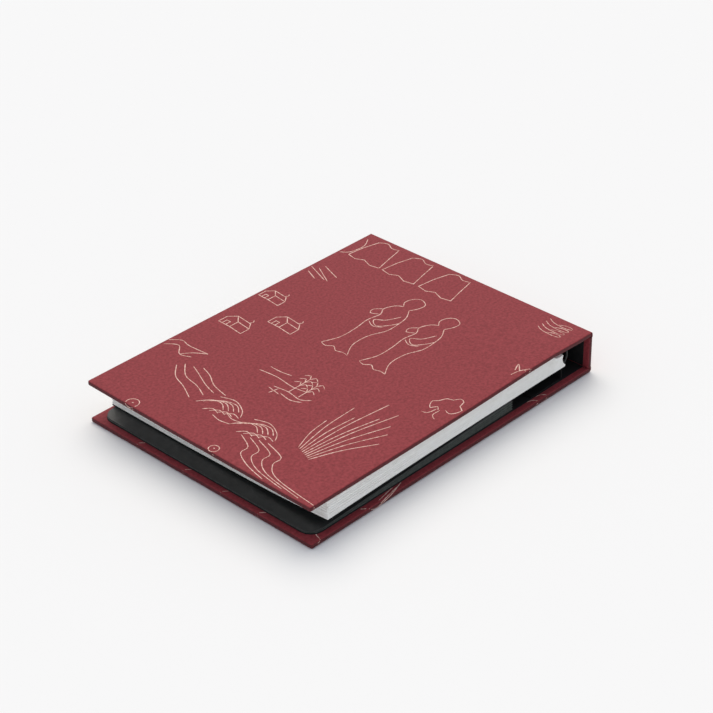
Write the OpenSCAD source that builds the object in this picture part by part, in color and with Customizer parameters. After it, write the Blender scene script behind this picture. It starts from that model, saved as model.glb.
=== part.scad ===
// Wire-bound prayer book in a three-panel hard case.
// +X runs from the fore-edge to the spine, +Y from the tail to the head, +Z up.
// The origin is under the middle of the closed book, on the surface it lies on.

/* [Case] */
// Fore-edge to spine
case_depth = 171; // [150:1:220]
// Tail to head
case_width = 130; // [110:1:170]
// Height of the closed book
case_height = 20; // [20:0.5:24]
// Radius of the two fore-edge corners of each cover
corner_radius = 1.2; // [0.6:0.1:3]

/* [Panels] */
// Thickness of the greyboard
board_t = 1.6; // [1.2:0.1:1.8]
// Thickness of the covering cloth
cloth_t = 0.25; // [0.15:0.05:0.3]
// Thickness of the black lining paper
lining_t = 0.15; // [0.1:0.05:0.2]
// How far the cloth is turned in over the inside of a board
turn_in = 14; // [10:1:18]
// Strip of turned-in cloth that the lining leaves bare
lining_inset = 3; // [2:0.5:5]

/* [Pages] */
// Number of page sections
section_count = 8; // [4:1:8]
// Gap from the case's fore-edge to the pages
page_fore_inset = 10.5; // [6:0.5:16]
// Gap from the tail and from the head to the pages
page_side_inset = 1.5; // [1:0.25:5]
// Thickness of all the sections together at the wire
block_t = 6.2; // [4:0.2:6.2]
// Clear gap between one section and the next
section_gap = 0.08; // [0.05:0.01:0.12]

/* [Wire] */
// Radius of the wire loops, at the middle of the wire
loop_radius = 4.4; // [4.2:0.1:4.5]
// Diameter of the wire
wire_d = 0.8; // [0.6:0.1:0.9]
// Distance from one twin loop to the next
loop_pitch = 8.47; // [7:0.01:10]
// Number of twin loops
loop_count = 15; // [5:1:15]

/* [Pocket] */
// Length of the pocket, from its fore-edge fold to its mouth
pocket_depth = 119; // [60:1:120]
// Clear height of the mouth
mouth_height = 4.7; // [2:0.1:4.7]
// Radius of the fore-edge corners of the pocket and of both linings
pocket_radius = 6; // [3:0.5:10]
// Width of each folded side gusset
gusset_width = 10; // [6:1:14]

/* [Hidden] */
$fn = 48;

SECTION_NAMES = ["page_section_1", "page_section_2", "page_section_3", "page_section_4",
                 "page_section_5", "page_section_6", "page_section_7", "page_section_8"];

CLOTH_RED = [0.50, 0.22, 0.24];
GREYBOARD = [0.55, 0.53, 0.50];
BLACK_PAPER = [0.16, 0.16, 0.16];
PAGE_WHITE = [0.90, 0.90, 0.88];
WIRE_BLACK = [0.06, 0.06, 0.06];

// A hair that cutting solids run past the faces they cut
over = 1;

fore_x = -case_depth / 2;
spine_x = case_depth / 2;
tail_y = -case_width / 2;

panel_t = 2 * cloth_t + board_t;
inner_face = panel_t + lining_t;

// Clear gaps at the two folds of the case
fold_gap = 0.3;
fold_clear = inner_face + 0.25;

// Wire loops: their middle lies just under the closed front cover
loop_clear = 0.25;
loop_z = case_height - inner_face - loop_clear - wire_d / 2 - loop_radius;
loop_x = spine_x - 16.3;
twin_gap = 2.6;
slot_width = 4;
// The seam rod is thinner than the loops, so that it stays inside their wire
seam_angle = 115;
seam_d = wire_d - 0.2;

// Page block, measured from the middle of the loops
block_top = 3.3;
fore_top_z = case_height - inner_face - 0.45;
fore_bottom_z = 5.5;
fan_power = 1.3;
page_fore_x = fore_x + page_fore_inset;
page_width = case_width - 2 * page_side_inset;

// The pages' spine edges follow an arc, hollow towards the spine
arc_x = loop_x + 2.4;
arc_z = loop_z + 1.6;
arc_radius = 4.3;

card_t = 0.4;
card_gap = 0.1;
card_margin = 1;

pocket_paper_t = 0.25;
pocket_card_t = 0.45;
pocket_fore_x = fore_x + lining_inset + 0.2;
pocket_width = case_width - 2 * (lining_inset + 0.2);
pocket_floor = inner_face + pocket_paper_t;
pocket_fold_h = 0.5;
pocket_angle = atan((mouth_height - pocket_fold_h) / pocket_depth);

anchor_t = 0.5;
anchor_flange = 20;
anchor_width = case_width - 2 * (lining_inset + 0.5);

function mix(a, b, t) = a + (b - a) * t;

// Height of the boundary between sections above and below it, at the wire and at the fore-edge
function wire_side_z(i) = loop_z + block_top - block_t * i / section_count;
function fore_side_z(i) = mix(fore_top_z, fore_bottom_z, pow(i / section_count, fan_power));

// Where a section's spine edge lies, for the height of its middle
function spine_edge_x(z) = arc_x - sqrt(pow(arc_radius, 2) - pow(z - arc_z, 2));

// Half the chord of a circle of radius r at height h above its middle
function half_chord(r, h) = sqrt(max(0, r * r - h * h));

// A flat outline with its two fore-edge corners rounded
module fore_rounded(x0, x1, width, radius) {
    translate([x0 + radius, -width / 2])
        square([x1 - x0 - radius, width]);
    translate([x0, radius - width / 2])
        square([x1 - x0, width - 2 * radius]);
    for (side = [-1, 1])
        translate([x0 + radius, side * (width / 2 - radius)])
            circle(r = radius);
}

module block(x0, x1, width, z0, z1) {
    translate([x0, -width / 2, z0])
        cube([x1 - x0, width, z1 - z0]);
}

// A cover's board, its outer face one cloth thickness above z = 0
module cover_board() {
    translate([0, 0, cloth_t])
        linear_extrude(board_t)
            fore_rounded(fore_x + cloth_t, spine_x - cloth_t - fold_gap,
                         case_width - 2 * cloth_t, corner_radius - cloth_t);
}

// A cover's cloth: the outer sheet, three wrapped edges and the turn-ins inside
module cover_covering() {
    difference() {
        linear_extrude(panel_t)
            fore_rounded(fore_x, spine_x, case_width, corner_radius);
        translate([0, 0, cloth_t])
            linear_extrude(board_t)
                fore_rounded(fore_x + cloth_t, spine_x + over,
                             case_width - 2 * cloth_t, corner_radius - cloth_t);
        block(fore_x + turn_in, spine_x + over, case_width - 2 * turn_in,
              cloth_t, panel_t + over);
        block(spine_x - cloth_t - fold_gap, spine_x + over, case_width + over,
              cloth_t, panel_t + over);
    }
}

// A cover's lining: a sheet over the turn-ins that drops onto the bare board between them
module cover_lining() {
    translate([0, 0, panel_t])
        linear_extrude(lining_t)
            fore_rounded(fore_x + lining_inset, spine_x - inner_face - fold_gap,
                         case_width - 2 * lining_inset, pocket_radius);
    block(fore_x + turn_in, spine_x - inner_face - fold_gap, case_width - 2 * turn_in,
          cloth_t + board_t, panel_t + lining_t / 2);
}

// Turns a panel's outline over, so that it lies under the top of the closed book
module as_front_cover() {
    translate([0, 0, case_height])
        mirror([0, 0, 1])
            children();
}

// Stands a panel up at the spine: its x becomes height and its z goes inwards
module as_spine() {
    translate([spine_x, 0, 0])
        rotate([0, -90, 0])
            children();
}

module back_board() {
    color(GREYBOARD) cover_board();
}

module back_covering() {
    color(CLOTH_RED) cover_covering();
}

module back_lining() {
    color(BLACK_PAPER) cover_lining();
}

module front_board() {
    color(GREYBOARD) as_front_cover() cover_board();
}

module front_covering() {
    color(CLOTH_RED) as_front_cover() cover_covering();
}

module front_lining() {
    color(BLACK_PAPER) as_front_cover() cover_lining();
}

module spine_board() {
    color(GREYBOARD)
        as_spine()
            block(fold_clear, case_height - fold_clear, case_width - 2 * cloth_t,
                  cloth_t, cloth_t + board_t);
}

module spine_covering() {
    color(CLOTH_RED)
        as_spine() {
            block(fold_gap, case_height - fold_gap, case_width, 0, cloth_t);
            difference() {
                block(fold_clear, case_height - fold_clear, case_width, 0, panel_t);
                block(0, case_height, case_width - 2 * cloth_t, cloth_t, cloth_t + board_t);
                block(0, case_height, case_width - 2 * turn_in, cloth_t, panel_t + over);
            }
        }
}

module spine_lining() {
    color(BLACK_PAPER)
        as_spine() {
            block(fold_clear, case_height - fold_clear, case_width - 2 * lining_inset,
                  panel_t, inner_face);
            block(fold_clear, case_height - fold_clear, case_width - 2 * turn_in,
                  cloth_t + board_t, inner_face);
        }
}

module pocket_back() {
    color(BLACK_PAPER)
        translate([0, 0, inner_face])
            linear_extrude(pocket_paper_t)
                fore_rounded(pocket_fore_x, pocket_fore_x + pocket_depth,
                             pocket_width, pocket_radius);
}

// The folded strip that joins the pocket's front to its back along the fore-edge
module pocket_fore_fold() {
    color(BLACK_PAPER)
        translate([0, 0, pocket_floor])
            linear_extrude(pocket_fold_h - 0.15)
                intersection() {
                    fore_rounded(pocket_fore_x, pocket_fore_x + pocket_depth,
                                 pocket_width, pocket_radius);
                    translate([pocket_fore_x, -pocket_width / 2])
                        square([pocket_radius, pocket_width]);
                }
}

// A side gusset, its pleats closed up into a wedge that opens towards the mouth
module side_gusset() {
    slack = 0.15;
    x0 = pocket_fore_x + pocket_radius + 2;
    x1 = pocket_fore_x + pocket_depth - 1;
    rise0 = pocket_fold_h + (x0 - pocket_fore_x) * tan(pocket_angle) - slack;
    rise1 = pocket_fold_h + (x1 - pocket_fore_x) * tan(pocket_angle) - slack;
    translate([0, -pocket_width / 2 + gusset_width, pocket_floor])
        rotate([90, 0, 0])
            linear_extrude(gusset_width)
                polygon([[x0, 0], [x1, 0], [x1, rise1], [x0, rise0]]);
}

module pocket_tail_gusset() {
    color(BLACK_PAPER) side_gusset();
}

module pocket_head_gusset() {
    color(BLACK_PAPER) mirror([0, 1, 0]) side_gusset();
}

module pocket_front() {
    color(BLACK_PAPER)
        translate([pocket_fore_x, 0, pocket_floor + pocket_fold_h])
            rotate([0, -pocket_angle, 0])
                linear_extrude(pocket_card_t)
                    fore_rounded(0, pocket_depth, pocket_width, pocket_radius);
}

module wire_binding() {
    span = (loop_count - 1) * loop_pitch + twin_gap + wire_d + 0.4;
    color(WIRE_BLACK)
        translate([loop_x, 0, loop_z])
            rotate([90, 0, 0]) {
                for (k = [0 : loop_count - 1], side = [-1, 1])
                    translate([0, 0, (k - (loop_count - 1) / 2) * loop_pitch + side * twin_gap / 2])
                        rotate_extrude($fn = 32)
                            translate([loop_radius, 0])
                                circle(d = wire_d, $fn = 16);
                rotate([0, 0, -seam_angle])
                    translate([loop_radius, 0, -span / 2])
                        cylinder(d = seam_d, h = span);
            }
}

// The slots for the wire, from x0 to x1 and z0 to z1 measured from the middle of the loops
module wire_slots(x0, x1, z0, z1) {
    for (k = [0 : loop_count - 1])
        translate([loop_x + x0,
                   (k - (loop_count - 1) / 2) * loop_pitch - slot_width / 2,
                   loop_z + z0])
            cube([x1 - x0, slot_width, z1 - z0]);
}

// The punched strip that ties the wire to the back cover
module wire_anchor() {
    web_top = loop_z - loop_radius + wire_d / 2 + 0.85;
    color(BLACK_PAPER)
        difference() {
            union() {
                block(loop_x - anchor_flange, loop_x + anchor_t / 2, anchor_width,
                      inner_face, inner_face + anchor_t);
                block(loop_x - anchor_t / 2, loop_x + anchor_t / 2, anchor_width,
                      inner_face, web_top);
            }
            wire_slots(-over, over, -loop_radius - 0.6, -loop_radius + 0.6);
        }
}

// Cuts the wire slots through a leaf that lies between two heights above the loops' middle
module leaf_slots(low, high) {
    slack = 0.25;
    nearest = low * high < 0 ? 0 : min(abs(low), abs(high));
    furthest = max(abs(low), abs(high));
    x0 = -half_chord(loop_radius + wire_d / 2, nearest) - slack;
    x1 = -half_chord(loop_radius - wire_d / 2, furthest) + slack;
    wire_slots(x0, x1, low - over, high + over);
}

module backing_card() {
    wire_z = wire_side_z(section_count) - card_gap;
    fore_z = fore_bottom_z - card_gap;
    edge_x = loop_x - card_margin;
    color(BLACK_PAPER)
        difference() {
            translate([0, page_width / 2, 0])
                rotate([90, 0, 0])
                    linear_extrude(page_width)
                        polygon([[page_fore_x, fore_z - card_t], [edge_x, wire_z - card_t],
                                 [edge_x, wire_z], [page_fore_x, fore_z]]);
            leaf_slots(wire_z - card_t - loop_z - 0.15, wire_z - loop_z);
        }
}

// One section of leaves, thicker at the fore-edge where the leaves fan out
module page_section(i) {
    top_z = wire_side_z(i);
    bottom_z = wire_side_z(i + 1) + section_gap;
    edge_x = spine_edge_x((top_z + bottom_z) / 2);
    color(PAGE_WHITE)
        difference() {
            translate([0, page_width / 2, 0])
                rotate([90, 0, 0])
                    linear_extrude(page_width)
                        polygon([[page_fore_x, fore_side_z(i + 1) + section_gap],
                                 [edge_x, bottom_z],
                                 [edge_x, top_z],
                                 [page_fore_x, fore_side_z(i)]]);
            leaf_slots(bottom_z - loop_z - 0.1, top_z - loop_z + 0.1);
        }
}

back_board();
back_covering();
back_lining();
spine_board();
spine_covering();
spine_lining();
front_board();
front_covering();
front_lining();
pocket_back();
pocket_fore_fold();
pocket_tail_gusset();
pocket_head_gusset();
pocket_front();
wire_binding();
wire_anchor();
backing_card();
for (i = [0 : section_count - 1])
    page_section(i);
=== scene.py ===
"""Looks for the prayer book: a cloth-covered three-panel case, leaves on twin-loop wire, and a pocket.

Shapes are worked out in millimetres in the CAD frame and turned into metres in make_mesh().
+X runs from the fore-edge to the spine, +Y from the tail to the head, +Z up.
"""
import math
import random

import bmesh
import bpy
from mathutils import Matrix, Vector


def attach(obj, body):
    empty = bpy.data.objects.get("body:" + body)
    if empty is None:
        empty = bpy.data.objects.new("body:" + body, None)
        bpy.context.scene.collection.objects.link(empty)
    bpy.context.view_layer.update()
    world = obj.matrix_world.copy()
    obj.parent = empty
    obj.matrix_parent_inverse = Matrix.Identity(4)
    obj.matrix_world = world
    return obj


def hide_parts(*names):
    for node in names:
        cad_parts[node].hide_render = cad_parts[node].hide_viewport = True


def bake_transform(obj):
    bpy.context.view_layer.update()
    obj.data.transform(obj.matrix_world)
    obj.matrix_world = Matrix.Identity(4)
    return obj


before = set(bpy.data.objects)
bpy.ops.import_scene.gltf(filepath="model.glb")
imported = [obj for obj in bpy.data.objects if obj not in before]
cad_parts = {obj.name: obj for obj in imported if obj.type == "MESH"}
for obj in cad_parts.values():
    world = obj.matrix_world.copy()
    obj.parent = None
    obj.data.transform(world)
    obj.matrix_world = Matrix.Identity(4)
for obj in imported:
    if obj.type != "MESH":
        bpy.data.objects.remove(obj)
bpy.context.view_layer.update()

MM = 0.001

# The closed book, millimetres
FORE = -85.5
SPINE = 85.5
HALF_WIDTH = 65.0
HEIGHT = 20.0

# A panel: cloth, greyboard, turned-in cloth, lining paper
CLOTH_T = 0.25
BOARD_T = 1.6
LINING_T = 0.15
PANEL_T = BOARD_T + 2 * CLOTH_T
INNER_FACE = PANEL_T + LINING_T
LINING_INSET = 3.0
LINING_SPINE_INSET = 0.5
LINING_ROUND = 0.05
EDGE_ROUND = 0.6
CORNER_ROUND = 0.9
SPINE_CORNER_ROUND = 0.3
SMALLEST_ROUND = 0.12
BOARD_INSET = 0.5
BOARD_SPINE_INSET = 0.3
BOARD_ROUND = 0.2

# How far a glued or printed piece sinks into the one it lies on
BED = 0.01

# A panel's mesh: steps along its long and short sides and round its corners, and its rings' spacing
LONG_STEPS = 34
SHORT_STEPS = 26
CORNER_STEPS = 4
CELL = 5.0

# How far the front cover is out of flat: a twist, a hollow, and a low swell near the spine and the tail
TWIST = 0.35
HOLLOW = 0.35
SWELL = 0.9
SWELL_X = 52
SWELL_LENGTH = 34
SWELL_FADE = 25
SWELL_END_Y = 10

# The fold between a cover and the spine is a quarter of a small cylinder
FOLD_ROUND = 0.9
FOLD_INSET = 0.25
FOLD_LINING_T = 0.1
FOLD_STEPS = 8
PANEL_END = SPINE - FOLD_ROUND

# The spine's board starts this far up. Its cloth thickens there over SPINE_EASE.
SPINE_BOARD_FOOT = 2.5
SPINE_EASE = 0.1
SPINE_LINING_MARGIN = 0.3

# The wire's loops, and their slots in the leaves
LOOP_X = 69.2
LOOP_Z = 12.7
LOOP_R = 4.4
WIRE_R = 0.4
LOOP_COUNT = 15
LOOP_PITCH = 8.47
SLOT_WIDTH = 4.0
SLOT_SLACK = 0.25

# The leaves. At the fore-edge each section's leaves gather to BUNCH_SQUEEZE of their even spacing.
SECTIONS = 8
LEAVES_PER_SECTION = 6
BUNCH_SQUEEZE = 0.8
PAGE_FORE = -75.0
PAGE_HALF_WIDTH = 63.5
LEAF_T = 0.1
FORE_RAGGED = 0.35
SIDE_RAGGED = 0.22
SPINE_RAGGED = 0.1
LEAF_SEED = 7

# The card under the leaves
CARD_SHEET_T = 0.3
CARD_GAP = 0.05
CARD_MARGIN = 1.0

# The block of leaves: its top and thickness at the wire, and its top under the front cover
BLOCK_TOP = 3.3
BLOCK_T = 6.2
COVER_GAP = 0.15
FORE_TOP = HEIGHT - INNER_FACE - COVER_GAP

# The top leaves are level at the wire slots. From DIP_START they rise over DIP_LENGTH to lie under the cover.
DIP_MARGIN = 0.25
DIP_START = LOOP_X - LOOP_R - WIRE_R - SLOT_SLACK - DIP_MARGIN
DIP_LENGTH = 4.0
DIP_END = DIP_START - DIP_LENGTH

# The lowest leaf's height at the fore-edge. It falls from the tail to the head and curls up near the tail.
FORE_LOWEST = 4.2
FORE_MIDDLE = 4.6
FORE_SLOPE = 0.022
TAIL_CURL = 1.2
TAIL_CURL_Y = -20
TAIL_CURL_LENGTH = 40
SAG_POWER = 1.9
SPREAD_RATE = 1.4

# The arc that the leaves' spine edges follow
SPINE_ARC_X = LOOP_X + 2.4
SPINE_ARC_Z = LOOP_Z + 1.6
SPINE_ARC_R = 4.3

# Pocket. Its folds start POCKET_LIFT above the lining, over the pocket's back sheet.
POCKET_MARGIN = 0.2
POCKET_FORE = FORE + LINING_INSET + POCKET_MARGIN
POCKET_LENGTH = 119.0
POCKET_HALF_WIDTH = HALF_WIDTH - LINING_INSET - POCKET_MARGIN
POCKET_CORNER = 6.0
POCKET_LIFT = 0.25
POCKET_FLOOR = INNER_FACE + POCKET_LIFT
FOLD_RISE = 0.5
MOUTH_RISE = 4.7
POCKET_CARD_T = 0.45
POCKET_CARD_ROUND = 0.15
PLEATS = 4
PLEAT_DEPTH = 9.0
PLEAT_GAP = 0.25
PLEAT_BULGE = 0.35
PLEAT_CORNER = 0.15
POCKET_SIDE_STEPS = 24
POCKET_FORE_STEPS = 16
POCKET_CORNER_STEPS = 7

# Printed lines
INK_WIDTH = 0.45
INK_RISE = 0.05
INK_TAPER = 0.55
INK_UNEVEN = (0.75, 1.2)
SHARP_CORNER = 0.06

# The stage. The floor's half side is in metres, and the camera was fitted to the photo's corners.
FLOOR_HALF = 3.0
FLOOR_DROP = 0.2
SKY_COLOUR = (0.83, 0.90, 1.0, 1)
SKY_STRENGTH = 0.62
SUN_COLOUR = (1.0, 0.92, 0.80)
SUN_STRENGTH = 2.1
SUN_SPREAD = 60
SUN_FROM = (0.38, 0.42, 0.95)
CAMERA_PLACE = (-530.9, -525.6, 490.2)
CAMERA_YAW = 44.31
CAMERA_PITCH = 32.2
CAMERA_ROLL = -1.06
CAMERA_LENS = 106.2


# ---------------------------------------------------------------- small tools

def mix(a, b, t):
    """The value t of the way from a to b."""
    return a + (b - a) * t


def steps(a, b, count):
    """count + 1 even values from a to b."""
    return [mix(a, b, i / count) for i in range(count + 1)]


def smooth(t):
    """0 to 1 with level ends."""
    t = min(1.0, max(0.0, t))
    return t * t * (3 - 2 * t)


def half_chord(radius, height):
    """Half the width of a circle at some height above its middle."""
    return math.sqrt(max(0.0, radius ** 2 - height ** 2))


def arc(centre_x, centre_y, radius, start, end, count):
    """Points round part of a circle, between two angles in degrees."""
    points = []
    for angle in steps(start, end, count):
        turned = math.radians(angle)
        points.append((centre_x + radius * math.cos(turned), centre_y + radius * math.sin(turned)))
    return points


def make_mesh(name, points, faces, material, smooth_angle):
    """A mesh object from points in millimetres, shaded smooth except across sharp edges."""
    data = bpy.data.meshes.new(name)
    data.from_pydata([Vector(p) * MM for p in points], [], faces)
    data.validate()
    data.update()
    data.shade_smooth()
    data.set_sharp_from_angle(angle=math.radians(smooth_angle))
    data.materials.append(material)
    obj = bpy.data.objects.new(name, data)
    bpy.context.scene.collection.objects.link(obj)
    return obj


def face_outwards(obj):
    """Turns the faces of a closed mesh outwards."""
    work = bmesh.new()
    work.from_mesh(obj.data)
    bmesh.ops.recalc_face_normals(work, faces=work.faces)
    work.to_mesh(obj.data)
    work.free()
    return obj


class Builder:
    """Collects points and faces in millimetres."""

    def __init__(self):
        self.points = []
        self.faces = []

    def ring(self, ring_points):
        """Adds points and returns their numbers."""
        first = len(self.points)
        self.points.extend(ring_points)
        return list(range(first, len(self.points)))

    def bridge(self, a, b, closed=True):
        """Joins two rows of the same length with quads."""
        count = len(a)
        for i in range(count if closed else count - 1):
            j = (i + 1) % count
            self.faces.append((a[i], a[j], b[j], b[i]))

    def cap(self, ring_numbers):
        """Closes a ring with one face."""
        self.faces.append(tuple(ring_numbers))

    def loft(self, rings):
        """Joins rings of points one after another, with a face on each end."""
        numbers = [self.ring(r) for r in rings]
        for a, b in zip(numbers, numbers[1:]):
            self.bridge(a, b)
        self.cap(reversed(numbers[0]))
        self.cap(numbers[-1])

    def build(self, name, material, smooth_angle=40):
        """Makes the object, with its faces outwards."""
        return face_outwards(make_mesh(name, self.points, self.faces, material, smooth_angle))


# ---------------------------------------------------------------- materials

def linear(channel):
    """An sRGB channel from 0 to 255 as a linear value."""
    c = channel / 255
    return c / 12.92 if c <= 0.04045 else ((c + 0.055) / 1.055) ** 2.4


def rgb(red, green, blue):
    """An sRGB colour as linear RGBA."""
    return (linear(red), linear(green), linear(blue), 1.0)


class Shader:
    """A material with a Principled shader and short helpers for the nodes that feed it."""

    def __init__(self, name, colour, roughness, specular=0.5):
        self.material = bpy.data.materials.new(name)
        self.material.use_nodes = True
        self.material.diffuse_color = colour
        self.nodes = self.material.node_tree.nodes
        self.links = self.material.node_tree.links
        self.surface = self.nodes["Principled BSDF"]
        self.surface.inputs["Base Color"].default_value = colour
        self.surface.inputs["Roughness"].default_value = roughness
        self.surface.inputs["Specular IOR Level"].default_value = specular
        coordinates = self.nodes.new("ShaderNodeTexCoord")
        self.place = coordinates.outputs["Object"]
        self.facing = coordinates.outputs["Normal"]

    def noise(self, scale, detail):
        """Noise at so many repeats per metre."""
        texture = self.nodes.new("ShaderNodeTexNoise")
        texture.inputs["Scale"].default_value = scale
        texture.inputs["Detail"].default_value = detail
        self.links.new(self.place, texture.inputs["Vector"])
        return texture.outputs["Fac"]

    def wave(self, scale, direction, distortion):
        """Bands along one axis, scale per metre."""
        texture = self.nodes.new("ShaderNodeTexWave")
        texture.bands_direction = direction
        texture.inputs["Scale"].default_value = scale
        texture.inputs["Distortion"].default_value = distortion
        texture.inputs["Detail"].default_value = 1.0
        self.links.new(self.place, texture.inputs["Vector"])
        return texture.outputs["Fac"]

    def math(self, operation, a, b):
        """A math node on two outputs or numbers."""
        node = self.nodes.new("ShaderNodeMath")
        node.operation = operation
        for socket, value in zip(node.inputs, (a, b)):
            if isinstance(value, (int, float)):
                socket.default_value = value
            else:
                self.links.new(value, socket)
        return node.outputs["Value"]

    def ramp(self, factor, low, high, start, end):
        """A colour between low and high as factor goes from start to end."""
        node = self.nodes.new("ShaderNodeValToRGB")
        node.color_ramp.elements[0].position = start
        node.color_ramp.elements[0].color = low
        node.color_ramp.elements[1].position = end
        node.color_ramp.elements[1].color = high
        self.links.new(factor, node.inputs["Fac"])
        return node.outputs["Color"]

    def blend(self, factor, low, high, start, end):
        """One colour output turning into another as factor goes from start to end."""
        share = self.nodes.new("ShaderNodeMapRange")
        share.inputs["From Min"].default_value = start
        share.inputs["From Max"].default_value = end
        self.links.new(factor, share.inputs["Value"])
        node = self.nodes.new("ShaderNodeMix")
        node.data_type = "RGBA"
        self.links.new(share.outputs["Result"], node.inputs["Factor"])
        self.links.new(low, node.inputs["A"])
        self.links.new(high, node.inputs["B"])
        return node.outputs["Result"]

    def normal(self, axis):
        """One part of the direction that the surface looks in, in the piece's own axes."""
        node = self.nodes.new("ShaderNodeSeparateXYZ")
        self.links.new(self.facing, node.inputs["Vector"])
        return node.outputs[axis]

    def paint(self, colour):
        """Uses a colour output as the surface's colour."""
        self.links.new(colour, self.surface.inputs["Base Color"])

    def colours(self, factor, low, high, start=0.3, end=0.7):
        """Colours the surface between low and high as factor goes from start to end."""
        self.paint(self.ramp(factor, low, high, start, end))

    def bump(self, height, distance, strength):
        """Raises the surface by distance millimetres where height is 1."""
        node = self.nodes.new("ShaderNodeBump")
        node.inputs["Strength"].default_value = strength
        node.inputs["Distance"].default_value = distance * MM
        self.links.new(height, node.inputs["Height"])
        self.links.new(node.outputs["Normal"], self.surface.inputs["Normal"])


def book_cloth(name, flat_axis=None):
    """Matt dark red book cloth with a fine weave. Its side walls and rounded edges are darker: painted shade.

    flat_axis is the axis that the panel's faces look along: 0 for X, 2 for Z, or None for no painted shade.
    """
    shader = Shader(name, rgb(140, 50, 56), 0.75, 0.35)
    face = shader.ramp(shader.noise(900, 6.0), rgb(119, 31, 38), rgb(150, 53, 60), 0.28, 0.72)
    if flat_axis is None:
        shader.paint(face)
    else:
        # Painted shade: a darker red for the side walls and rounded edges, which face away from the light.
        edge = shader.ramp(shader.noise(900, 6.0), rgb(74, 16, 22), rgb(94, 25, 31), 0.3, 0.7)
        flatness = shader.math("ABSOLUTE", shader.normal(flat_axis), 0.0)
        shader.paint(shader.blend(flatness, edge, face, 0.35, 0.95))
    weave = shader.math("ADD", shader.wave(620, "X", 1.5), shader.wave(620, "Y", 1.5))
    grain = shader.math("ADD", weave, shader.noise(1800, 2.0))
    shader.bump(grain, 0.035, 0.6)
    shader.surface.inputs["Sheen Weight"].default_value = 0.04
    shader.surface.inputs["Sheen Roughness"].default_value = 0.5
    return shader.material


def print_ink():
    """Pale rose ink that lets some of the weave show."""
    shader = Shader("print_ink", rgb(214, 166, 152), 0.75, 0.25)
    shader.colours(shader.noise(900, 3.0), rgb(200, 145, 132), rgb(236, 205, 192), 0.35, 0.62)
    return shader.material


def greyboard():
    """Pressed grey board."""
    shader = Shader("greyboard", rgb(140, 134, 126), 0.9, 0.2)
    shader.colours(shader.noise(700, 4.0), rgb(124, 118, 110), rgb(154, 148, 140))
    return shader.material


def lining_paper():
    """Black lining paper, a little uneven."""
    shader = Shader("lining_paper", rgb(26, 25, 26), 0.7, 0.3)
    shader.colours(shader.noise(500, 4.0), rgb(20, 19, 20), rgb(32, 31, 32))
    shader.bump(shader.noise(1500, 3.0), 0.02, 0.5)
    return shader.material


def pocket_paper():
    """Dark grey-green pocket card with a soft sheen."""
    shader = Shader("pocket_paper", rgb(52, 52, 50), 0.48, 0.5)
    shader.colours(shader.noise(420, 4.0), rgb(46, 47, 45), rgb(58, 59, 57))
    shader.bump(shader.noise(1300, 3.0), 0.02, 0.5)
    return shader.material


def pleat_paper():
    """Grey-green folded paper of the pocket's pleats. It is lighter than the card as painted highlight, for
    the light that the folds catch.
    """
    # Painted highlight: the pleats' paper is given a lighter colour than the card.
    shader = Shader("pleat_paper", rgb(82, 86, 80), 0.5, 0.5)
    shader.colours(shader.noise(600, 4.0), rgb(70, 75, 69), rgb(96, 101, 95))
    shader.bump(shader.noise(1300, 3.0), 0.02, 0.5)
    return shader.material


def page_paper():
    """White uncoated paper, with a faint glow of painted light that brightens it."""
    shader = Shader("page_paper", rgb(244, 243, 240), 0.85, 0.2)
    shader.colours(shader.noise(300, 4.0), rgb(240, 239, 235), rgb(248, 247, 245))
    # Painted light: a faint glow brightens the pages beyond what the lamps give them.
    shader.surface.inputs["Emission Color"].default_value = rgb(250, 249, 247)
    shader.surface.inputs["Emission Strength"].default_value = 0.05
    return shader.material


def binding_wire():
    """Black nylon-coated wire."""
    shader = Shader("binding_wire", rgb(20, 20, 21), 0.35, 0.5)
    shader.colours(shader.noise(800, 2.0), rgb(15, 15, 16), rgb(25, 25, 26))
    return shader.material


def backing_board():
    """The dark sheet behind the last page and the strip that holds the wire. The sheet's black is partly its
    own colour and partly painted shade for the gap under the leaves.
    """
    shader = Shader("backing_board", rgb(20, 19, 19), 0.75, 0.25)
    # Partly painted shade: the black stands in for the shadow gap between the leaves and the pocket.
    shader.colours(shader.noise(500, 4.0), rgb(15, 14, 14), rgb(25, 24, 24))
    return shader.material


# The covers' and the spine's cloth carry painted shade on their side walls; the folds' cloth does not.
CLOTH = book_cloth("book_cloth", 2)
SPINE_CLOTH = book_cloth("spine_cloth", 0)
FOLD_CLOTH = book_cloth("fold_cloth")
INK = print_ink()
BOARD = greyboard()
LINING = lining_paper()
POCKET = pocket_paper()
PLEAT = pleat_paper()
PAPER = page_paper()
WIRE = binding_wire()
BACKING = backing_board()


# ---------------------------------------------------------------- how the front cover is warped

def front_warp(x, y):
    """How far the front cover stands off its flat shape. It is nought at the spine."""
    along = smooth((PANEL_END - x) / (PANEL_END - FORE))
    twist = TWIST * along * y / HALF_WIDTH
    hollow = -HOLLOW * along * (1 - (y / HALF_WIDTH) ** 2)
    off_spine = smooth((PANEL_END - x) / SWELL_FADE)
    near_tail = smooth((SWELL_END_Y - y) / (SWELL_END_Y + HALF_WIDTH))
    swell = SWELL * math.exp(-((x - SWELL_X) / SWELL_LENGTH) ** 2) * off_spine * near_tail
    return twist + hollow + swell


def as_front(x, y, depth):
    """A point of the front cover, depth millimetres in from its outer face."""
    return (x, y, HEIGHT - depth + front_warp(x, y))


def as_back(x, y, depth):
    """A point of the back cover, which lies flat, depth millimetres in from its outer face."""
    return (x, y, depth)


# ---------------------------------------------------------------- panels

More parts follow.
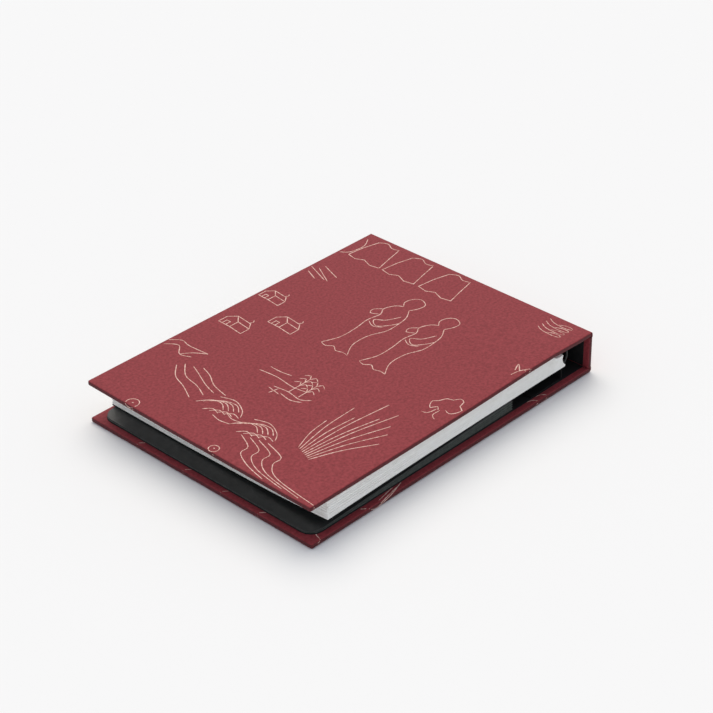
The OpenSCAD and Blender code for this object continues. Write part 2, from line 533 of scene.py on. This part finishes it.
def rectangle(x0, x1, half_width, fore_round, spine_round):
    """A closed outline with rounded corners, always with the same number of points."""
    corners = [
        (x0, -half_width, fore_round, 180),
        (x1, -half_width, spine_round, 270),
        (x1, half_width, spine_round, 0),
        (x0, half_width, fore_round, 90),
    ]
    arcs = []
    for x, y, radius, start in corners:
        centre_x = x + radius if x == x0 else x - radius
        centre_y = y + radius if y < 0 else y - radius
        arcs.append(arc(centre_x, centre_y, radius, start, start + 90, CORNER_STEPS))
    outline = []
    for bend, following, count in zip(arcs, arcs[1:] + arcs[:1], (LONG_STEPS, SHORT_STEPS) * 2):
        outline.extend(bend)
        a, b = bend[-1], following[0]
        for t in steps(0, 1, count)[1:-1]:
            outline.append((mix(a[0], b[0], t), mix(a[1], b[1], t)))
    return outline


def slab(name, material, put, x0, x1, half_width, profile, fore_round, spine_follows=False):
    """A closed sheet or panel. profile lists (inset, depth) from the outer face round to the inner one.

    Without spine_follows the edge isn't rounded at the spine end, where a cover's cloth meets its fold.
    """

    def outline(inset):
        spine_inset = inset if spine_follows else max(0.0, inset - profile[0][0])
        return rectangle(x0 + inset, x1 - spine_inset, half_width - inset,
                         max(SMALLEST_ROUND, fore_round - inset),
                         max(SMALLEST_ROUND, SPINE_CORNER_ROUND - spine_inset))

    made = Builder()
    rings = []
    middle = half_width - CELL
    first_inset, first_depth = profile[0]
    last_inset, last_depth = profile[-1]
    count = int((middle - first_inset) / CELL)
    for inset in reversed(steps(first_inset, middle, count)[1:]):
        rings.append([put(x, y, first_depth) for x, y in outline(inset)])
    for inset, depth in profile:
        rings.append([put(x, y, depth) for x, y in outline(inset)])
    for inset in steps(last_inset, middle, count)[1:]:
        rings.append([put(x, y, last_depth) for x, y in outline(inset)])
    made.loft(rings)
    return made.build(name, material)


def rounded_edge(thickness, radius, arc_steps=5):
    """(inset, depth) round a soft edge, from the outer face to the inner face."""
    radius = min(radius, thickness / 2)
    outer = [(radius * (1 - math.sin(a)), radius * (1 - math.cos(a)))
             for a in steps(0, math.pi / 2, arc_steps)]
    inner = [(inset, thickness - depth) for inset, depth in reversed(outer)]
    return outer + inner


def cover(side, put, body):
    """One cover: its cloth with the turn-in, the board inside and the lining."""
    cloth = slab(side + "_cloth", CLOTH, put, FORE, PANEL_END, HALF_WIDTH,
                 rounded_edge(PANEL_T, EDGE_ROUND), CORNER_ROUND)
    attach(cloth, body)
    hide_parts(side + "_covering")

    def put_board(x, y, depth):
        return put(x, y, depth + CLOTH_T)

    board = slab(side + "_board_core", BOARD, put_board, FORE + BOARD_INSET, PANEL_END - BOARD_SPINE_INSET,
                 HALF_WIDTH - BOARD_INSET, rounded_edge(BOARD_T, BOARD_ROUND, 1), CORNER_ROUND, True)
    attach(board, body)
    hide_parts(side + "_board")

    def put_lining(x, y, depth):
        return put(x, y, PANEL_T - BED + depth)

    lining = slab(side + "_lining_sheet", LINING, put_lining, FORE + LINING_INSET,
                  PANEL_END - LINING_SPINE_INSET, HALF_WIDTH - LINING_INSET,
                  rounded_edge(LINING_T, LINING_ROUND, 1), POCKET_CORNER, True)
    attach(lining, body)
    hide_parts(side + "_lining")


# ---------------------------------------------------------------- spine

def cross_section(height, half_width, outer_x, thickness, radius, side_steps=3):
    """A rounded flat bar seen along Z: a ring of points at one height."""
    radius = min(radius, thickness / 2)
    ring = []
    for sign_y, sign_x, start in ((-1, 1, 270), (1, 1, 0), (1, -1, 90), (-1, -1, 180)):
        centre_x = outer_x - (radius if sign_x > 0 else thickness - radius)
        centre_y = sign_y * (half_width - radius)
        bend = arc(centre_x, centre_y, radius, start, start + 90, side_steps)
        ring.extend((x, y, height) for x, y in bend)
    return ring


def spine():
    """The spine panel: cloth round its board, with a thin cloth flange above and below for the folds."""
    made = Builder()
    foot = SPINE_BOARD_FOOT
    top = HEIGHT - foot
    flange = 2 * CLOTH_T
    # The cloth is nearly at its full thickness just past each end of the board, so the board stays inside
    lower = [(FOLD_ROUND, flange), (foot - 1.5 * SPINE_EASE, flange),
             (foot - SPINE_EASE, PANEL_T - SPINE_EASE), (foot + SPINE_EASE, PANEL_T)]
    upper = [(HEIGHT - height, thickness) for height, thickness in reversed(lower)]
    made.loft([cross_section(height, HALF_WIDTH, SPINE, thickness, EDGE_ROUND)
               for height, thickness in lower + [(HEIGHT / 2, PANEL_T)] + upper])
    cloth = made.build("spine_cloth", SPINE_CLOTH)
    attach(cloth, "spine")
    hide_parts("spine_covering")

    lining = Builder()
    inner = SPINE - PANEL_T + BED
    lining.loft([cross_section(h, HALF_WIDTH - LINING_INSET, inner, LINING_T, LINING_ROUND, 1)
                 for h in (foot + SPINE_LINING_MARGIN, HEIGHT / 2, top - SPINE_LINING_MARGIN)])
    sheet = lining.build("spine_lining_sheet", LINING)
    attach(sheet, "spine")
    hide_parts("spine_lining")


def fold_strip(name, material, radius, centre_depth, thickness, half_width, upper):
    """The curved strip of a fold. It runs round the corner."""
    made = Builder()
    rings = []
    for a in steps(0, 90, FOLD_STEPS):
        turned = math.radians(a)
        ring = []
        for r, y in ((radius, -half_width), (radius, half_width),
                     (radius - thickness, half_width), (radius - thickness, -half_width)):
            x = SPINE - centre_depth + r * math.sin(turned)
            z = centre_depth - r * math.cos(turned)
            ring.append((x, y, HEIGHT - z if upper else z))
        rings.append(ring)
    made.loft(rings)
    strip = made.build(name, material)
    if upper:
        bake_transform(strip)
    else:
        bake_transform(strip)
    return strip


def folds():
    """The cloth and the lining across both folds."""
    for side, upper in (("back", False), ("front", True)):
        cloth = fold_strip(side + "_fold_cloth", FOLD_CLOTH, FOLD_ROUND, FOLD_ROUND, CLOTH_T,
                           HALF_WIDTH - FOLD_INSET, upper)
        inner = FOLD_ROUND - CLOTH_T
        lining = fold_strip(side + "_fold_lining", LINING, inner, FOLD_ROUND, FOLD_LINING_T,
                            HALF_WIDTH - LINING_INSET, upper)


# ---------------------------------------------------------------- leaves

def wire_side_z(share):
    """Height of the block at the wire, for share 0 at the top leaf to 1 at the bottom one."""
    return LOOP_Z + BLOCK_TOP - BLOCK_T * share


def fore_bottom(y):
    """Height of the lowest leaf at the fore-edge. The leaves sag most at the head."""
    curl = TAIL_CURL * (max(0.0, TAIL_CURL_Y - y) / TAIL_CURL_LENGTH) ** 2
    return max(FORE_LOWEST, FORE_MIDDLE - FORE_SLOPE * y + curl)


def spine_edge_x(z):
    """The leaves' spine edges follow an arc, hollow towards the spine."""
    return SPINE_ARC_X - half_chord(SPINE_ARC_R, z - SPINE_ARC_Z)


def leaf_z(x, y, wire_share, fore_share):
    """Height of a leaf between the block's top and bottom surfaces, which every leaf shares.

    The top lies close under the cover and drops to the wire near its end. The bottom sags to the fore-edge.
    """
    out = min(1.0, max(0.0, (LOOP_X - x) / (LOOP_X - PAGE_FORE)))
    clear = smooth((DIP_START - x) / DIP_LENGTH)
    top = mix(wire_side_z(0), FORE_TOP + front_warp(x, y), clear)
    bottom = mix(wire_side_z(1), fore_bottom(y), out ** SAG_POWER)
    return mix(top, bottom, mix(wire_share, fore_share, smooth(SPREAD_RATE * out)))


def slot_edges():
    """The wire slots along Y, as (start, end) pairs from tail to head."""
    middle = (LOOP_COUNT - 1) / 2
    return [((k - middle) * LOOP_PITCH - SLOT_WIDTH / 2, (k - middle) * LOOP_PITCH + SLOT_WIDTH / 2)
            for k in range(LOOP_COUNT)]


def bunched(place):
    """Where a leaf lies at the fore-edge, counted in leaves. Each section's leaves gather there."""
    middle = (math.floor(place / LEAVES_PER_SECTION) + 0.5) * LEAVES_PER_SECTION
    return middle + (place - middle) * BUNCH_SQUEEZE


def slot_span(top, bottom):
    """Start and end of a sheet's wire slots along X, from its faces' heights above the loops' middle."""
    nearest = 0.0 if top * bottom < 0 else min(abs(top), abs(bottom))
    furthest = max(abs(top), abs(bottom))
    return (LOOP_X - half_chord(LOOP_R + WIRE_R, nearest) - SLOT_SLACK,
            LOOP_X - half_chord(LOOP_R - WIRE_R, furthest) + SLOT_SLACK)


# The lines across the leaves where their shape is worked out. All leaves share them, so none cuts its
# neighbour, and they end before the wire slots.
BEND_LINES = steps(PAGE_FORE + 5, DIP_END, 12) + steps(DIP_END, DIP_START, 4)[1:]


def leaf(made, wire_share, fore_share, end_x, rng, thickness=LEAF_T, drop=0.0):
    """Adds one sheet with its wire slots. The shares place it at the wire and at the fore-edge."""
    top_z = wire_side_z(wire_share) - drop
    slot_x0, slot_x1 = slot_span(top_z - LOOP_Z, top_z - thickness - LOOP_Z)
    fore_x = PAGE_FORE + rng.uniform(0.0, FORE_RAGGED)
    tail_y = -PAGE_HALF_WIDTH + rng.uniform(0.0, SIDE_RAGGED)
    head_y = PAGE_HALF_WIDTH - rng.uniform(0.0, SIDE_RAGGED)

    ys = [tail_y]
    solid = []
    for start, end in slot_edges():
        solid.append(True)
        ys.append(start)
        solid.append(False)
        ys.append(end)
    solid.append(True)
    ys.append(head_y)
    xs = [fore_x] + BEND_LINES + [slot_x0, slot_x1, end_x]
    slot_column = len(xs) - 3

    grids = []
    for lift in (drop, drop + thickness):
        numbers = []
        for x in xs:
            numbers.append(made.ring([(x, y, leaf_z(x, y, wire_share, fore_share) - lift) for y in ys]))
        grids.append(numbers)
    top, bottom = grids

    def filled(i, j):
        inside = 0 <= i < len(xs) - 1 and 0 <= j < len(ys) - 1
        return inside and (i != slot_column or solid[j])

    for i in range(len(xs) - 1):
        for j in range(len(ys) - 1):
            if not filled(i, j):
                continue
            made.faces.append((top[i][j], top[i + 1][j], top[i + 1][j + 1], top[i][j + 1]))
            made.faces.append((bottom[i][j], bottom[i][j + 1], bottom[i + 1][j + 1], bottom[i + 1][j]))
            for near, a, b in (((i - 1, j), (i, j), (i, j + 1)), ((i + 1, j), (i + 1, j + 1), (i + 1, j)),
                               ((i, j - 1), (i + 1, j), (i, j)), ((i, j + 1), (i, j + 1), (i + 1, j + 1))):
                if not filled(*near):
                    made.faces.append((top[a[0]][a[1]], top[b[0]][b[1]],
                                       bottom[b[0]][b[1]], bottom[a[0]][a[1]]))


def page_sections():
    """Each section's leaves in one mesh that rides on the section's body, and the card under them."""
    rng = random.Random(LEAF_SEED)
    total = SECTIONS * LEAVES_PER_SECTION
    for section in range(SECTIONS):
        made = Builder()
        for k in range(LEAVES_PER_SECTION):
            place = section * LEAVES_PER_SECTION + k
            end_x = min(LOOP_X, spine_edge_x(wire_side_z(place / total))) - rng.uniform(0.0, SPINE_RAGGED)
            leaf(made, place / total, bunched(place) / total, end_x, rng)
        name = "page_section_%d" % (section + 1)
        leaves = made.build("leaves_%d" % (section + 1), PAPER)
        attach(leaves, "pages_%d" % (section + 1))
        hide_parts(name)

    made = Builder()
    leaf(made, 1.0, 1.0, LOOP_X - CARD_MARGIN, rng, CARD_SHEET_T, CARD_GAP)
    card = made.build("backing_sheet", BACKING)
    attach(card, "backing")
    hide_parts("backing_card")


# ---------------------------------------------------------------- pocket

def pocket_path(inset):
    """The pocket's tail side, fore-edge and head side as one open line, moved inwards by inset."""
    radius = max(PLEAT_CORNER, POCKET_CORNER - inset)
    x0 = POCKET_FORE + inset
    x1 = POCKET_FORE + POCKET_LENGTH
    half = POCKET_HALF_WIDTH - inset
    path = [(x, -half) for x in steps(x1, x0 + radius, POCKET_SIDE_STEPS)]
    path += arc(x0 + radius, -half + radius, radius, 270, 180, POCKET_CORNER_STEPS)[1:]
    path += [(x0, y) for y in steps(-half + radius, half - radius, POCKET_FORE_STEPS)[1:]]
    path += arc(x0 + radius, half - radius, radius, 180, 90, POCKET_CORNER_STEPS)[1:]
    path += [(x, half) for x in steps(x0 + radius, x1, POCKET_SIDE_STEPS)[1:]]
    return path


def pocket_rise(x):
    """Height of the pocket's inside at a distance from its fore-edge fold."""
    return mix(FOLD_RISE, MOUTH_RISE, (x - POCKET_FORE) / POCKET_LENGTH)


def bellows():
    """Folded paper pleats round three sides of the pocket."""
    made = Builder()
    for pleat in range(PLEATS):
        low = (pleat + PLEAT_GAP) / PLEATS
        high = (pleat + 1 - PLEAT_GAP) / PLEATS
        middle = (low + high) / 2
        half = (high - low) / 2
        profile = [(PLEAT_DEPTH, low)]
        for a in steps(-math.pi / 2, math.pi / 2, 6):
            profile.append((PLEAT_BULGE * (1 - math.cos(a)), middle + half * math.sin(a)))
        profile.append((PLEAT_DEPTH, high))
        rings = []
        for inset, share in profile:
            ring = [(x, y, POCKET_FLOOR + share * pocket_rise(x)) for x, y in pocket_path(inset)]
            rings.append(ring)
        numbers = [made.ring(r) for r in rings]
        for a, b in zip(numbers, numbers[1:] + numbers[:1]):
            made.bridge(a, b, closed=False)
        made.cap([n[0] for n in numbers])
        made.cap([n[-1] for n in reversed(numbers)])
    pleats = made.build("pocket_pleats", PLEAT)
    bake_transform(pleats)
    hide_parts("pocket_tail_gusset", "pocket_head_gusset", "pocket_fore_fold")


def pocket_front():
    """The pocket's front card, with soft edges."""
    def put(x, y, depth):
        return (x, y, POCKET_FLOOR + pocket_rise(x) + POCKET_CARD_T - depth)

    card = slab("pocket_card", POCKET, put, POCKET_FORE, POCKET_FORE + POCKET_LENGTH, POCKET_HALF_WIDTH,
                rounded_edge(POCKET_CARD_T, POCKET_CARD_ROUND, 3), POCKET_CORNER, True)
    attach(card, "pocket_flap")
    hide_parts("pocket_front")


# ---------------------------------------------------------------- printed line drawings

def curve_through(points, spacing=1.2):
    """A smooth line through given points, sampled about every spacing millimetres."""
    padded = [points[0]] + list(points) + [points[-1]]
    line = []
    for a, b, c, d in zip(padded, padded[1:], padded[2:], padded[3:]):
        length = math.dist(b, c)
        count = max(2, int(length / spacing))
        for t in steps(0, 1, count)[:-1]:
            line.append(tuple(
                0.5 * (2 * q + (r - p) * t + (2 * p - 5 * q + 4 * r - s) * t ** 2
                       + (3 * q - p - 3 * r + s) * t ** 3)
                for p, q, r, s in zip(a, b, c, d)))
    line.append(tuple(points[-1]))
    return line


def wrapped(u, v, put):
    """A point of the cloth, u to the right and v upwards in the drawing, folded over the cover's edges.

    The drawing's right is the tail and its top is the spine, as it lies on the front cover.
    Returns a function of height above the cloth, so that a line can be given some thickness.
    """
    x, y = v, -u
    flat_fore = FORE + EDGE_ROUND
    flat_side = HALF_WIDTH - EDGE_ROUND
    bend = EDGE_ROUND * math.pi / 2
    wall = PANEL_T - 2 * EDGE_ROUND

    def over_edge(beyond):
        """(how far out, how deep, outward share, upward share) for a distance past the flat part."""
        if beyond < bend:
            a = beyond / EDGE_ROUND
            return EDGE_ROUND * math.sin(a), EDGE_ROUND * (1 - math.cos(a)), math.sin(a), math.cos(a)
        if beyond < bend + wall:
            return EDGE_ROUND, EDGE_ROUND + beyond - bend, 1.0, 0.0
        beyond -= bend + wall
        if beyond < bend:
            a = beyond / EDGE_ROUND
            return (EDGE_ROUND * math.cos(a), PANEL_T - EDGE_ROUND * (1 - math.sin(a)),
                    math.cos(a), -math.sin(a))
        return bend - beyond, PANEL_T, 0.0, -1.0

    def at(height):
        if x < flat_fore:
            out, depth, outward, upward = over_edge(flat_fore - x)
            return put(flat_fore - out - outward * height, y, depth - upward * height)
        if abs(y) > flat_side:
            out, depth, outward, upward = over_edge(abs(y) - flat_side)
            side = math.copysign(1.0, y)
            return put(x, side * (flat_side + out + outward * height), depth - upward * height)
        return put(x, y, -height)

    return at


def draw(made, points, put, rng):
    """Adds one printed stroke: a low ridge along a smooth line."""
    line = curve_through(points)
    rings = []
    for i, (u, v) in enumerate(line):
        before = line[max(0, i - 1)]
        after = line[min(len(line) - 1, i + 1)]
        du, dv = after[0] - before[0], after[1] - before[1]
        length = math.hypot(du, dv) or 1.0
        taper = INK_TAPER if i in (0, len(line) - 1) else 1.0
        half = INK_WIDTH / 2 * taper * rng.uniform(*INK_UNEVEN)
        side_u, side_v = -dv / length * half, du / length * half
        rings.append([
            wrapped(u - side_u, v - side_v, put)(-BED),
            wrapped(u, v, put)(INK_RISE),
            wrapped(u + side_u, v + side_v, put)(-BED),
            wrapped(u, v, put)(-INK_RISE),
        ])
    made.loft(rings)


def moved(points, u, v, size=1.0):
    """Points of a motif, scaled and moved to (u, v)."""
    return [(u + size * p[0], v + size * p[1]) for p in points]


def straight(points):
    """Keeps corners sharp in a smooth line by adding points close to each of them."""
    kept = [points[0]]
    for a, b in zip(points, points[1:]):
        for t in (SHARP_CORNER, 1 - SHARP_CORNER):
            kept.append((mix(a[0], b[0], t), mix(a[1], b[1], t)))
        kept.append(b)
    return kept


def robed_figure(u, v, size=1.0):
    """A plain cloaked figure without a face: hood, shoulders, a raised sleeve and a long sweeping robe."""
    hem = [(-7, 1), (-4, 0), (-1, 2), (2, 0), (5, 1), (8, 0.5)]
    front = [(-7, 1), (-4, 9), (-4, 18), (-5, 26), (-4, 33), (-6, 37), (-4, 42), (-1, 44)]
    back = [(8, 0.5), (4, 8), (4, 17), (7, 25), (7, 32), (6, 38), (3, 43)]
    hood = [(-1, 44), (-3, 47), (-2, 51), (1, 53), (5, 51), (5, 47), (3, 43)]
    sleeve = [(4, 37), (1, 31), (-3, 28), (1, 25), (5, 29), (7, 33)]
    cuff = [(-6, 37), (-9, 34), (-8, 31), (-4, 33)]
    sash = [(-4, 26), (0, 24), (4, 26)]
    return [moved(s, u, v, size) for s in (hem, front, back, hood, sleeve, cuff, sash)]


def half_robe(u, v):
    """The lower part of a robe that runs off the edge of the cloth."""
    outline = [(-7, 17), (-9, 9), (-10, 0), (-5, -1), (-1, 1), (4, -1), (9, 0), (7, 8), (5, 17)]
    shoulder = [(-7, 17), (-3, 19), (1, 17), (5, 18)]
    return [straight(moved(outline, u, v)), moved(shoulder, u, v)]


def house(u, v, size=1.0):
    """A small house: gable, roof ridge, side wall and door."""
    gable = [(-8, 0), (-8, 6), (-4, 10), (0, 6), (0, 0)]
    roof = [(-4, 10), (6, 9), (9, 5), (0, 6)]
    wall = [(-8, 0), (0, 0), (9, -1), (9, 5)]
    door = [(-5.5, 0), (-5.5, 3.5), (-3, 3.5), (-3, 0)]
    smoke = [(5, 9.5), (6, 11), (5, 12.5)]
    return [straight(moved(s, u, v, size)) for s in (gable, roof, wall, door)] + [moved(smoke, u, v, size)]


def rain(u, v):
    """Four short slanting strokes, nearly side by side."""
    strokes = ([(0, 7), (13, 2)], [(4, 8), (15, 2)], [(5, 11), (16, 7)], [(2, 3), (9, 0)])
    return [moved(s, u, v) for s in strokes]


def wave_line(start, end, height, waves):
    """A wavy line from start to end."""
    points = []
    du, dv = end[0] - start[0], end[1] - start[1]
    length = math.hypot(du, dv)
    for t in steps(0, 1, waves * 4):
        sway = height * math.sin(t * waves * 2 * math.pi)
        points.append((start[0] + du * t - dv / length * sway, start[1] + dv * t + du / length * sway))
    return points


def ripples(u, v):
    """A knot of short crossing waves."""
    strokes = []
    for k in range(4):
        strokes.append([(u - 10 + 2 * k, v - 4 + 2 * k), (u - 6 + 2 * k, v + 1 + 1.2 * k),
                        (u - 1 + 2 * k, v + 2 + k), (u + 3 + 2 * k, v - 1 + k)])
        strokes.append([(u - 4 + 3 * k, v - 6 + k), (u - 1 + 3 * k, v - 3 + k), (u + 3 + 3 * k, v - 4 + k)])
    strokes.append([(u - 5, v + 5), (u + 2, v + 7), (u + 9, v + 4), (u + 12, v)])
    return strokes


def river():
    """Running water from the head edge to the fore-edge, with two knots of ripples."""
    strokes = [
        [(-47, -52), (-41, -58), (-33, -61), (-25, -65)],
        [(-45, -49), (-38, -55), (-29, -57), (-22, -60)],
        [(-41, -48), (-36, -50), (-27, -54), (-20, -56)],
        [(-37, -46), (-31, -48), (-24, -52), (-15, -54)],
        [(-9, -67), (-4, -68), (1, -67)],
        [(-6, -62), (-1, -64), (4, -63)],
    ]
    strokes += ripples(-11, -61)
    strokes += ripples(11, -63)
    for k, end in enumerate(((38, -84.5), (48, -84), (57, -84), (66, -83.5))):
        shift = 5 * k
        strokes.append([(10 + 4 * k, -69 + k), (18 + shift, -73 + 1.2 * k), (19 + shift, -78 + k),
                        (27 + shift, -82 + 0.5 * k), end])
    return strokes


def reeds(u, v, size=1.0):
    """A fan of long leaves that grows from one place."""
    strokes = []
    tips = ((-5, 22), (-3, 36), (2, 31), (6, 47), (10, 37), (14, 44), (17, 36), (20, 31), (22, 24))
    for k, (tip_u, tip_v) in enumerate(tips):
        root = (1.1 * k, 1.0 - 0.4 * k)
        half_way = (mix(root[0], tip_u, 0.5) - 1.2, mix(root[1], tip_v, 0.5))
        strokes.append(moved([root, half_way, (tip_u, tip_v)], u, v, size))
    return strokes


def tree(u, v, size=1.0):
    """A spreading tree on a short trunk."""
    crown = [(-6, 4), (-7, 7), (-5, 9), (-3, 13), (0, 14), (2, 17), (5, 16), (6, 12), (9, 10), (8, 6), (6, 4),
             (3, 5)]
    low = [(-6, 4), (-4, 2), (-2, 5), (0, 3)]
    trunk = [(-1, 3), (-2, -2), (-5, -3)]
    other = [(1, 3), (1, -2), (4, -4)]
    return [moved(s, u, v, size) for s in (crown, low, trunk, other)]


def islet(u, v, size=1.0):
    """A little island with two trees, a mooring cross and water lines."""
    water = [[(-18, 3), (-12, 3), (-6, 4)], [(-20, -2), (-10, -1), (0, -2), (8, -1)]]
    shore = [[(-6, -7), (2, -6), (10, -7), (14, -4)], [(0, -9), (7, -10), (12, -8)]]
    cross = [[(-4, -12), (-3, -7)], [(-7, -9), (0, -10)]]
    trunks = [[(2, -6), (2, 8)], [(8, -6), (8, 6)]]
    strokes = [moved(s, u, v, size) for s in water + shore + cross + trunks]
    bough = [(-4, 0), (-1.5, 1.6), (0, -0.8), (1.5, 1.6), (4, 0)]
    for top_u, top_v in ((2, 8), (8, 6)):
        for k in range(3):
            strokes.append(moved(moved(bough, top_u, top_v - 3.2 * k), u, v, size))
    return strokes


def grass(u, v, size=1.0):
    """Four thin looped blades, one above the other."""
    blade = [(-7, 1.5), (-3, -0.5), (3, -1), (7, -0.2), (6.5, 1.2), (2.5, 1), (-0.5, -0.6)]
    return [moved(blade, u, v + 2.8 * k - 4, size) for k in range(4)]


def flower(u, v, size=1.0):
    """A round flower on a stem."""
    head = arc(0, 0, 3, 0, 360, 8)
    eye = [(0.4, 0), (0, 0.4), (-0.4, 0)]
    stem = [(2, -2.5), (5, -7), (10, -9)]
    return [moved(s, u, v, size) for s in (head, eye, stem)]


def hillside(u, v, size=1.0):
    """A slope, its shore and a path."""
    slope = [(-9, 0), (-4, 4), (2, 3), (14, 4)]
    shore = [(14, 4), (8, 0), (4, -5)]
    path = [(-8, -4), (-2, 0), (4, -5), (10, -3)]
    return [moved(s, u, v, size) for s in (slope, shore, path)]


def sprig(u, v, size=1.0):
    """A small plant with two leaves."""
    strokes = [[(0, -5), (1, 0), (4, 5)], [(1, 0), (-3, 4), (-1, -1)], [(2, 2), (6, 1), (4, 5)]]
    return [moved(s, u, v, size) for s in strokes]


def front_drawings():
    """Every motif on the front cover, in millimetres to the right and upwards from its middle."""
    strokes = []
    strokes += robed_figure(-8, 1, 1.04)
    strokes += robed_figure(14, 1, 1.0)
    strokes += half_robe(-49, 64)
    strokes += half_robe(-28, 64)
    strokes += half_robe(-6, 64)
    strokes += [[(-63.5, 63), (-60, 66), (-59, 74), (-62, 80)]]
    strokes += rain(-64, 38)
    strokes += house(-57, 11, 0.75)
    strokes += house(-53, -16, 0.85)
    strokes += house(-37, -2, 0.85)
    strokes += hillside(-56, -41, 0.9)
    strokes += river()
    strokes += islet(0, -29, 0.95)
    strokes += reeds(33, -61)
    strokes += tree(56, -6, 0.85)
    strokes += sprig(61.5, 40, 0.9)
    strokes += grass(51, 76, 0.9)
    strokes += flower(-39, -83.5)
    strokes += flower(9, -83, 0.75)
    return strokes


def back_drawings():
    """The same kinds of motif on the back cover. Some run over its edges on to the turned-in cloth."""
    strokes = []
    strokes += [[(69, -56), (65.2, -51), (65.6, -46), (67.2, -39), (69.5, -32)]]
    strokes += [[(66, -47), (67.4, -41), (68.6, -35)], [(67.6, -47), (68.6, -42), (69.6, -37)]]
    strokes += [moved([(70.5, 43), (68.5, 49), (65.8, 49.5), (64.5, 47)], 0, 6 * k) for k in range(2)]
    strokes += [wave_line((66, -82), (71, -78), 0.6, 1)]
    strokes += [wave_line((u, -82), (u + 4, -90), 0.8, 1) for u in (-38, -10, 12, 33)]
    strokes += robed_figure(-20, -20)
    strokes += robed_figure(8, -30)
    strokes += house(-40, 30)
    strokes += house(30, 40, 0.9)
    strokes += tree(40, 0)
    strokes += tree(-45, -20)
    strokes += reeds(28, -62, 0.9)
    strokes += islet(-30, 60, 0.9)
    strokes += grass(10, 62)
    strokes += hillside(-40, -65)
    return strokes


def spine_drawings():
    """A few motifs along the spine."""
    strokes = []
    for u in (-48, -16, 22, 50):
        strokes.append([(u - 6, 7), (u, 11), (u + 7, 8)])
        strokes.append([(u - 4, 12), (u + 2, 14), (u + 6, 12)])
    return strokes


def print_on(name, strokes, put, body, seed):
    """Prints strokes on one panel as one piece."""
    made = Builder()
    rng = random.Random(seed)
    for points in strokes:
        draw(made, points, put, rng)
    ink = made.build(name, INK, smooth_angle=80)
    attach(ink, body)


def on_spine(x, y, depth):
    """The spine's outer face: x is the height."""
    return (SPINE - depth, y, x)


# ---------------------------------------------------------------- parts kept from the CAD

def finish_cad_nodes():
    """Gives the CAD nodes that stay in the model their materials."""
    finishes = {"spine_board": BOARD, "pocket_back": LINING, "wire_binding": WIRE, "wire_anchor": BACKING}
    for name, material in finishes.items():
        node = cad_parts[name]
        node.data.materials.clear()
        node.data.materials.append(material)


# ---------------------------------------------------------------- floor, light, camera

def stage():
    """A pale floor, one soft lamp above and a pale blue sky."""
    half = FLOOR_HALF
    floor_mesh = bpy.data.meshes.new("floor")
    floor_mesh.from_pydata([(-half, -half, 0), (half, -half, 0), (half, half, 0), (-half, half, 0)], [],
                           [(0, 1, 2, 3)])
    shader = Shader("floor", rgb(239, 239, 240), 0.95, 0.0)
    floor_mesh.materials.append(shader.material)
    floor = bpy.data.objects.new("floor", floor_mesh)
    floor.location.z = -FLOOR_DROP * MM
    bpy.context.scene.collection.objects.link(floor)

    world = bpy.data.worlds.new("studio")
    world.use_nodes = True
    world.node_tree.nodes["Background"].inputs["Color"].default_value = SKY_COLOUR
    world.node_tree.nodes["Background"].inputs["Strength"].default_value = SKY_STRENGTH
    bpy.context.scene.world = world

    lamp = bpy.data.lights.new("softbox", "SUN")
    lamp.energy = SUN_STRENGTH
    lamp.angle = math.radians(SUN_SPREAD)
    lamp.color = SUN_COLOUR
    holder = bpy.data.objects.new("softbox", lamp)
    holder.rotation_euler = (-Vector(SUN_FROM)).to_track_quat("-Z", "Y").to_euler()
    bpy.context.scene.collection.objects.link(holder)


def camera():
    """A long lens over the fore-edge and tail corner."""
    yaw, pitch, roll = (math.radians(a) for a in (CAMERA_YAW, CAMERA_PITCH, CAMERA_ROLL))
    ahead = Vector((math.cos(yaw) * math.cos(pitch), math.sin(yaw) * math.cos(pitch), -math.sin(pitch)))
    level = Vector((math.sin(yaw), -math.cos(yaw), 0))
    above = level.cross(ahead)
    right = math.cos(roll) * level + math.sin(roll) * above
    up = -math.sin(roll) * level + math.cos(roll) * above
    lens = bpy.data.cameras.new("photo_camera")
    lens.lens = CAMERA_LENS
    lens.sensor_width = 36.0
    lens.clip_end = 50.0
    holder = bpy.data.objects.new("photo_camera", lens)
    turned = Matrix((right, up, -ahead)).transposed().to_4x4()
    holder.matrix_world = Matrix.Translation(Vector(CAMERA_PLACE) * MM) @ turned
    bpy.context.scene.collection.objects.link(holder)
    bpy.context.scene.camera = holder


# ---------------------------------------------------------------- build

finish_cad_nodes()
cover("back", as_back, "back_cover")
cover("front", as_front, "front_cover")
spine()
folds()
page_sections()
bellows()
pocket_front()
print_on("front_print", front_drawings(), as_front, "front_cover", 11)
print_on("back_print", back_drawings(), as_back, "back_cover", 12)
print_on("spine_print", spine_drawings(), on_spine, "spine", 13)
stage()
camera()
bpy.context.scene.view_settings.view_transform = "Standard"
